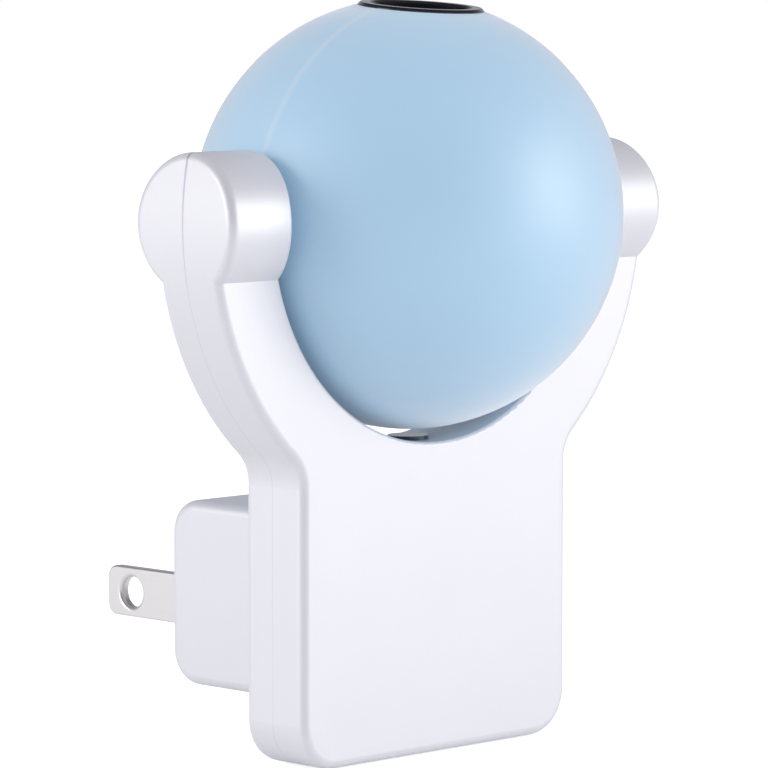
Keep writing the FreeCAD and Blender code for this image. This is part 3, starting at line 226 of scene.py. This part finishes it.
def jointLine():
    # Where two shells meet: a line in a plane through a point, wide at one height, a hairline below
    group, given, result = newGroup("jointLine", [
        ("Color", "NodeSocketColor", (0.8, 0.8, 0.8, 1)),
        ("Line Color", "NodeSocketColor", (0.3, 0.3, 0.4, 1)),
        ("Point", "NodeSocketVector", (0.0, 0.0, 0.0)),
        ("Across", "NodeSocketVector", (0.0, 1.0, 0.0)),
        ("Low", "NodeSocketFloat", 0.0),
        ("High", "NodeSocketFloat", 0.01),
        ("Narrow", "NodeSocketFloat", 0.00004),
        ("Wide", "NodeSocketFloat", 0.0002),
        ("Faint", "NodeSocketFloat", 0.2),
        ("Strength", "NodeSocketFloat", 0.8),
    ], [("Color", "NodeSocketColor")])
    place = group.nodes.new("ShaderNodeTexCoord").outputs["Object"]
    offset = vectorNode(group, "SUBTRACT", place, given.outputs["Point"])
    away = vectorNode(group, "DOT_PRODUCT", offset.outputs[0], given.outputs["Across"])
    distance = mathNode(group, "ABSOLUTE", away.outputs["Value"], 0.0)
    split = group.nodes.new("ShaderNodeSeparateXYZ")
    feed(group, split.inputs[0], place)
    rise = mapRange(group, split.outputs["Z"], given.outputs["Low"], given.outputs["High"], curve="LINEAR")
    spread = mathNode(group, "SUBTRACT", given.outputs["Wide"], given.outputs["Narrow"])
    spread = mathNode(group, "MULTIPLY", spread, rise)
    width = mathNode(group, "ADD", spread, given.outputs["Narrow"])
    edge = mapRange(group, mathNode(group, "DIVIDE", distance, width), low=1.0, high=0.0)
    shade = mapRange(group, rise, low=given.outputs["Faint"], high=given.outputs["Strength"], curve="LINEAR")
    mask = mathNode(group, "MULTIPLY", edge, shade)
    feed(group, result.inputs["Color"],
         mixColor(group, mask, given.outputs["Color"], given.outputs["Line Color"]))
    return group


grainGroup = mouldedGrain()
metalGroup = drawnMetal()
jointGroup = jointLine()
print("effect groups built")


# Finishes: what each has in common comes first, then one dictionary for each
plasticDefaults = {
    "mottle": 60.0,
    "grain": 2500.0,
    "spread": 0.05,
    "bump": 0.1,
    "depth": 0.00002,
    "shader": {},
}
metalDefaults = {
    "spread": 0.15,
    "bump": 0.1,
    "depth": 0.00001,
    "shader": {"Metallic": 1.0},
}

pearlSettings = {
    "color": (0.862, 0.858, 0.880),
    "deep": (0.834, 0.830, 0.855),
    "mottle": 90.0,
    "grain": 2200.0,
    "roughness": 0.44,
    "spread": 0.08,
    "shader": {"Metallic": 0.3},
}
frostSettings = {
    "color": (0.485, 0.755, 0.945),
    "deep": (0.460, 0.735, 0.935),
    "mottle": 120.0,
    "grain": 1500.0,
    "roughness": 0.46,
    "spread": 0.06,
    "bump": 0.15,
    "shader": {
        "Specular IOR Level": 1.0,
        "Coat Weight": 1.0,
        "Coat Roughness": 0.62,
        "Sheen Weight": 1.0,
        "Sheen Roughness": 0.45,
    },
}
pearlJoint = {
    "Line Color": (0.33, 0.33, 0.43, 1),
    "Point": (0.0, -0.0304, 0.0495),
    "Across": (0.0, 1.0, 0.0),
    "Low": 0.040,
    "High": 0.058,
    "Narrow": 0.00009,
    "Wide": 0.00030,
    "Faint": 0.20,
    "Strength": 0.75,
}
frostJoint = {
    "Line Color": (0.73, 0.86, 0.95, 1),
    "Point": (0.0, -0.0304, 0.0495),
    "Across": (0.0, 0.99619, 0.08716),
    "Low": 0.045,
    "High": 0.060,
    "Narrow": 0.0005,
    "Wide": 0.0008,
    "Faint": 0.20,
    "Strength": 0.38,
}
blackGlossSettings = {
    "color": (0.012, 0.012, 0.015),
    "deep": (0.018, 0.018, 0.022),
    "roughness": 0.16,
    "bump": 0.04,
    "shader": {"Coat Weight": 0.5, "Coat Roughness": 0.08},
}
blackInnerSettings = {
    "color": (0.02, 0.02, 0.02),
    "deep": (0.03, 0.03, 0.03),
    "roughness": 0.6,
    "bump": 0.3,
}
windowSettings = {
    "color": (0.02, 0.045, 0.075),
    "deep": (0.03, 0.06, 0.09),
    "roughness": 0.12,
    "bump": 0.02,
    "shader": {"Coat Weight": 0.6, "Coat Roughness": 0.05},
}
carrierSettings = {
    "color": (0.75, 0.74, 0.70),
    "deep": (0.70, 0.69, 0.65),
    "roughness": 0.5,
    "bump": 0.2,
}
greenBoardSettings = {
    "color": (0.015, 0.10, 0.035),
    "deep": (0.02, 0.13, 0.05),
    "roughness": 0.35,
    "bump": 0.2,
}
whiteBoardSettings = {
    "color": (0.80, 0.80, 0.77),
    "deep": (0.76, 0.76, 0.73),
    "roughness": 0.35,
    "bump": 0.15,
}
capacitorSettings = {
    "color": (0.62, 0.40, 0.03),
    "deep": (0.56, 0.35, 0.025),
    "roughness": 0.3,
}
epoxySettings = {
    "color": (0.02, 0.02, 0.02),
    "deep": (0.035, 0.035, 0.035),
    "roughness": 0.55,
    "bump": 0.3,
}
resistorSettings = {
    "color": (0.55, 0.40, 0.21),
    "deep": (0.48, 0.34, 0.17),
    "roughness": 0.4,
    "bump": 0.2,
}
ceramicSettings = {
    "color": (0.62, 0.30, 0.10),
    "deep": (0.50, 0.22, 0.08),
    "roughness": 0.35,
    "bump": 0.15,
}
leadSettings = {
    "color": (0.72, 0.72, 0.72),
    "deep": (0.66, 0.66, 0.66),
    "roughness": 0.5,
    "bump": 0.15,
}
rubberSettings = {
    "color": (0.012, 0.012, 0.012),
    "deep": (0.02, 0.02, 0.02),
    "roughness": 0.7,
    "bump": 0.4,
}
lensSettings = {
    "color": (0.95, 0.97, 1.0),
    "deep": (0.92, 0.96, 1.0),
    "mottle": 200.0,
    "roughness": 0.03,
    "spread": 0.02,
    "bump": 0.0,
    "shader": {"Transmission Weight": 1.0, "IOR": 1.52},
}
clearSettings = {
    "color": (0.93, 0.95, 0.95),
    "deep": (0.90, 0.93, 0.94),
    "mottle": 200.0,
    "roughness": 0.06,
    "spread": 0.02,
    "bump": 0.0,
    "shader": {"Transmission Weight": 0.95, "IOR": 1.49},
}
nickelSettings = {
    "color": (0.815, 0.792, 0.785),
    "streak": (0.785, 0.762, 0.752),
    "stretch": (2200.0, 90.0, 2200.0),
    "roughness": 0.34,
    "spread": 0.08,
    "bump": 0.05,
    "shader": {"Metallic": 0.75},
}
zincSettings = {
    "color": (0.55, 0.56, 0.58),
    "streak": (0.45, 0.46, 0.48),
    "stretch": (900.0, 300.0, 900.0),
    "roughness": 0.35,
}
sinkSettings = {
    "color": (0.70, 0.71, 0.72),
    "streak": (0.60, 0.61, 0.62),
    "stretch": (1200.0, 200.0, 1200.0),
    "roughness": 0.32,
}
canSettings = {
    "color": (0.66, 0.67, 0.69),
    "streak": (0.56, 0.57, 0.59),
    "stretch": (1500.0, 100.0, 1500.0),
    "roughness": 0.28,
}
filmSettings = {
    "sky": (0.03, 0.05, 0.22),
    "glow": (0.85, 0.80, 0.45),
    "dots": 900.0,
    "dotEdge": 0.18,
    "skyEdge": 0.24,
    "roughness": 0.2,
}


def useGroup(name, group, labels, settings):
    # A new material: a shared effect with this finish's own values, joined to the material's own shader
    material, tree, shader = newTree(name)
    effect = addNode(tree, "ShaderNodeGroup", node_tree=group)
    for label, key in labels.items():
        value = settings[key]
        effect.inputs[label].default_value = value + (1,) if label.endswith("Color") else value
    tree.links.new(effect.outputs["Color"], shader.inputs["Base Color"])
    tree.links.new(effect.outputs["Roughness"], shader.inputs["Roughness"])
    if settings["bump"]:
        relief = addNode(tree, "ShaderNodeBump")
        relief.inputs["Strength"].default_value = settings["bump"]
        relief.inputs["Distance"].default_value = settings["depth"]
        tree.links.new(effect.outputs["Height"], relief.inputs["Height"])
        tree.links.new(relief.outputs["Normal"], shader.inputs["Normal"])
    for label, value in settings["shader"].items():
        shader.inputs[label].default_value = value
    return material


def mouldedPlastic(name, settings):
    return useGroup(name, grainGroup, {
        "Color": "color",
        "Deep Color": "deep",
        "Mottle Scale": "mottle",
        "Grain Scale": "grain",
        "Roughness": "roughness",
        "Roughness Spread": "spread",
    }, plasticDefaults | settings)


def platedMetal(name, settings):
    return useGroup(name, metalGroup, {
        "Color": "color",
        "Streak Color": "streak",
        "Stretch": "stretch",
        "Roughness": "roughness",
        "Roughness Spread": "spread",
    }, metalDefaults | settings)


def printedFilm(name, settings):
    # A generic scatter of pale dots on deep blue film
    material, tree, shader = newTree(name)
    cells = addNode(tree, "ShaderNodeTexVoronoi")
    cells.inputs["Scale"].default_value = settings["dots"]
    tree.links.new(tree.nodes.new("ShaderNodeTexCoord").outputs["Object"], cells.inputs["Vector"])
    ramp = tree.nodes.new("ShaderNodeValToRGB")
    for index, place, color in ((0, "dotEdge", "glow"), (1, "skyEdge", "sky")):
        ramp.color_ramp.elements[index].position = settings[place]
        ramp.color_ramp.elements[index].color = settings[color] + (1,)
    tree.links.new(cells.outputs["Distance"], ramp.inputs["Fac"])
    tree.links.new(ramp.outputs["Color"], shader.inputs["Base Color"])
    shader.inputs["Roughness"].default_value = settings["roughness"]
    return material


def markJoint(material, settings):
    # Runs the material's colour through the joint line before it reaches the shader
    tree = material.node_tree
    shader = tree.nodes["Principled BSDF"]
    skinColor = shader.inputs["Base Color"].links[0].from_socket
    node = addNode(tree, "ShaderNodeGroup", node_tree=jointGroup)
    for label, value in settings.items():
        node.inputs[label].default_value = value
    tree.links.new(skinColor, node.inputs["Color"])
    tree.links.new(node.outputs["Color"], shader.inputs["Base Color"])


finishes = {
    "housing": mouldedPlastic("pearlHousing", pearlSettings),
    "globe": mouldedPlastic("frostedBlue", frostSettings),
    "black_gloss": mouldedPlastic("blackGloss", blackGlossSettings),
    "black_inner": mouldedPlastic("blackMatt", blackInnerSettings),
    "lens_glass": mouldedPlastic("lensGlass", lensSettings),
    "clear_plastic": mouldedPlastic("clearResin", clearSettings),
    "window": mouldedPlastic("darkWindow", windowSettings),
    "film": printedFilm("dottedFilm", filmSettings),
    "blade_nickel": platedMetal("nickelBlade", nickelSettings),
    "screw_steel": platedMetal("zincScrew", zincSettings),
    "carrier_plastic": mouldedPlastic("carrierNylon", carrierSettings),
    "board_green": mouldedPlastic("greenMask", greenBoardSettings),
    "board_white": mouldedPlastic("whiteMask", whiteBoardSettings),
    "capacitor_case": mouldedPlastic("yellowCase", capacitorSettings),
    "can_aluminium": platedMetal("canAluminium", canSettings),
    "component_black": mouldedPlastic("blackEpoxy", epoxySettings),
    "resistor_body": mouldedPlastic("tanLacquer", resistorSettings),
    "cell_ceramic": mouldedPlastic("cellCeramic", ceramicSettings),
    "sink_aluminium": platedMetal("sinkAluminium", sinkSettings),
    "lead_insulation": mouldedPlastic("leadJacket", leadSettings),
    "washer_rubber": mouldedPlastic("blackSilicone", rubberSettings),
}
markJoint(finishes["housing"], pearlJoint)
markJoint(finishes["globe"], frostJoint)

for part in frame["record"]["subparts"]:
    for slot in frame["nodes"][part["node"]].material_slots:
        slot.material = finishes[part["material_slot"]]


# The blades: flat strip with soft rims and a dished hole
bladeSettings = {
    "blades": {"liveBladeStrip": "live_blade", "neutralBladeStrip": "neutral_blade"},
    "holeRadius": 0.00195,
    "holeReach": 0.0120,
    "tipRound": 0.0015,
    "rimSoft": 0.00028,
    "holeSoft": 0.00050,
    "softSteps": 4,
    "holeSteps": 96,
    "sharpTurn": 1.0,
    "flatEnough": 0.999,
    "hair": 0.000001,
}


def onBladeOutline(point, tip, half, settings):
    # Slides a point straight out from the hole to the strip's outline, which is round at the tip's corners
    ends = (tip if point.x > 0 else half, half)
    reach = min(end / max(abs(value), settings["hair"]) for end, value in zip(ends, point.xy))
    found = Vector((point.x * reach, point.y * reach, 0.0))
    roundness = settings["tipRound"]
    side = 1 if found.y > 0 else -1
    corner = Vector((tip - roundness, side * (half - roundness), 0.0))
    if found.x > corner.x and side * (found.y - corner.y) > 0:
        found = corner + (found - corner).normalized() * roundness
    return found


def softenEdges(bm, settings, atHole):
    edges = []
    for edge in bm.edges:
        beside = all(vert.co.xy.length < settings["holeRadius"] + settings["hair"] for vert in edge.verts)
        if beside == atHole and edge.calc_face_angle(0) > settings["sharpTurn"]:
            edges.append(edge)
    bmesh.ops.bevel(bm, geom=edges, offset=settings["holeSoft"] if atHole else settings["rimSoft"],
                    affect="EDGES", segments=settings["softSteps"], profile=0.5, material=-1)


def makeBlade(name, node, settings):
    low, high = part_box(node)
    half = (high.z - low.z) / 2
    tip = high.y - settings["holeReach"]
    hair = settings["hair"]
    bm = bmesh.new()
    # drawn flat round the hole, with x along the blade and y across it
    bmesh.ops.create_circle(bm, segments=settings["holeSteps"], radius=settings["holeRadius"])
    rim = bmesh.ops.create_circle(bm, segments=settings["holeSteps"], radius=half)["verts"]
    for vert in rim:
        vert.co = onBladeOutline(vert.co, tip, half, settings)
    bmesh.ops.bridge_loops(bm, edges=bm.edges[:])
    backEdges = [edge for edge in bm.edges if all(vert.co.x < hair - half for vert in edge.verts)]
    grown = bmesh.ops.extrude_edge_only(bm, edges=backEdges)["geom"]
    inward = low.y - settings["holeReach"] + half
    newEnds = [item for item in grown if isinstance(item, bmesh.types.BMVert)]
    bmesh.ops.translate(bm, vec=(inward, 0, 0), verts=newEnds)
    bmesh.ops.recalc_face_normals(bm, faces=bm.faces[:])
    bmesh.ops.solidify(bm, geom=bm.faces[:], thickness=high.x - low.x)
    bmesh.ops.remove_doubles(bm, verts=bm.verts[:], dist=hair)
    bmesh.ops.recalc_face_normals(bm, faces=bm.faces[:])
    softenEdges(bm, settings, atHole=True)
    softenEdges(bm, settings, atHole=False)
    for face in bm.faces:
        face.smooth = max(abs(value) for value in face.normal) < settings["flatEnough"]
    # turned upright, then set where the CAD blade is
    upright = Matrix(((0, 0, 1), (1, 0, 0), (0, 1, 0))).to_4x4()
    bmesh.ops.transform(bm, matrix=upright, verts=bm.verts)
    sunk = low.x - min(vert.co.x for vert in bm.verts)
    bmesh.ops.translate(bm, vec=(sunk, settings["holeReach"], (low.z + high.z) / 2), verts=bm.verts)
    mesh = bpy.data.meshes.new(name)
    bm.to_mesh(mesh)
    bm.free()
    mesh.materials.append(finishes["blade_nickel"])
    blade = placeObject(name, mesh)
    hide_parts(node)
    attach(blade, "base")


for bladeName, bladeNode in bladeSettings["blades"].items():
    makeBlade(bladeName, bladeNode, bladeSettings)
print("blades shaped")


# Studio: a pale floor, an even sky and two softboxes
floorSettings = {
    "drop": 0.0002,
    "reach": 3.0,
    "color": (0.78, 0.78, 0.79),
    "roughness": 0.9,
    "whiteShare": 0.72,
    "glossShare": 0.26,
}


def makeFloor(settings):
    # The camera's rays see it lifted to white, and its shadow stays
    bm = bmesh.new()
    bmesh.ops.create_grid(bm, x_segments=2, y_segments=2, size=settings["reach"])
    bmesh.ops.translate(bm, vec=(0, 0, cadBox[0][2] - settings["drop"]), verts=bm.verts)
    mesh = bpy.data.meshes.new("floor")
    bm.to_mesh(mesh)
    bm.free()
    floor = placeObject("floor", mesh)
    material, tree, shader = newTree("paleFloor")
    shader.inputs["Base Color"].default_value = settings["color"] + (1,)
    shader.inputs["Roughness"].default_value = settings["roughness"]
    shader.inputs["Specular IOR Level"].default_value = 0.0
    path = tree.nodes.new("ShaderNodeLightPath")
    seen = mathNode(tree, "MAXIMUM", path.outputs["Is Camera Ray"], path.outputs["Is Transmission Ray"])
    seen = mathNode(tree, "MULTIPLY", seen, settings["whiteShare"])
    shown = mathNode(tree, "MULTIPLY", path.outputs["Is Glossy Ray"], settings["glossShare"])
    glow = tree.nodes.new("ShaderNodeEmission")
    tree.links.new(mathNode(tree, "MAXIMUM", seen, shown), glow.inputs["Strength"])
    both = tree.nodes.new("ShaderNodeAddShader")
    tree.links.new(shader.outputs[0], both.inputs[0])
    tree.links.new(glow.outputs[0], both.inputs[1])
    tree.links.new(both.outputs[0], tree.nodes["Material Output"].inputs["Surface"])
    mesh.materials.append(material)


skySettings = {
    "even": 0.70,
    "evenColor": (0.97, 0.97, 1.06),
    "shineColor": (0.41, 0.415, 0.46),
    "ceiling": 0.20,
    "ceilingStart": 0.22,
    "ceilingEnd": 0.60,
    "gap": 0.0,
    "gapStart": 0.60,
    "gapWay": (-0.705, -0.704, 0.05),
    "white": (1.0, 1.0, 1.0),
}


def fillBackground(tree, node, color, strength):
    node.inputs["Color"].default_value = color + (1,)
    feed(tree, node.inputs["Strength"], strength)
    return node.outputs[0]


def chooseShader(tree, factor, first, second):
    node = tree.nodes.new("ShaderNodeMixShader")
    for socket, value in zip(node.inputs, (factor, first, second)):
        tree.links.new(value, socket)
    return node.outputs[0]


def makeSky(settings):
    # Diffuse rays get an even light, gloss sees a pale horizon under a darker ceiling, the camera sees white
    scene.world = bpy.data.worlds.new("studio")
    scene.world.use_nodes = True
    tree = scene.world.node_tree
    way = tree.nodes.new("ShaderNodeTexCoord").outputs["Generated"]
    split = tree.nodes.new("ShaderNodeSeparateXYZ")
    tree.links.new(way, split.inputs[0])
    ceiling = mapRange(tree, split.outputs["Z"], settings["ceilingStart"], settings["ceilingEnd"],
                       1.0, settings["ceiling"])
    near = vectorNode(tree, "DOT_PRODUCT", way, settings["gapWay"])
    gap = mapRange(tree, near.outputs["Value"], settings["gapStart"], 1.0, 1.0, settings["gap"])
    even = fillBackground(tree, tree.nodes["Background"], settings["evenColor"], settings["even"])
    shine = fillBackground(tree, tree.nodes.new("ShaderNodeBackground"), settings["shineColor"],
                           mathNode(tree, "MULTIPLY", ceiling, gap))
    white = fillBackground(tree, tree.nodes.new("ShaderNodeBackground"), settings["white"], 1.0)
    path = tree.nodes.new("ShaderNodeLightPath")
    seen = mathNode(tree, "MAXIMUM", path.outputs["Is Camera Ray"], path.outputs["Is Transmission Ray"])
    lit = chooseShader(tree, path.outputs["Is Glossy Ray"], even, shine)
    tree.links.new(chooseShader(tree, seen, lit, white), tree.nodes["World Output"].inputs["Surface"])


lampSettings = {
    "aim": (0.0, -0.03, 0.05),
    "color": (1.0, 0.99, 0.96),
    "boxes": {
        "frontBox": {"place": (0.58, -0.84, 0.10), "size": (0.55, 0.9), "power": 5.8},
        "leftBox": {"place": (-0.88, 0.42, 0.22), "size": (0.5, 0.7), "power": 3.5},
    },
}


def makeLamps(settings):
    for name, box in settings["boxes"].items():
        data = bpy.data.lights.new(name, "AREA")
        data.shape = "RECTANGLE"
        data.size, data.size_y = box["size"]
        data.energy = box["power"]
        data.color = settings["color"]
        light = placeObject(name, data)
        light.location = box["place"]
        turnTowards(light, Vector(settings["aim"]) - light.location)


makeFloor(floorSettings)
makeSky(skySettings)
makeLamps(lampSettings)
scene.view_settings.view_transform = "Standard"
print("studio lit")
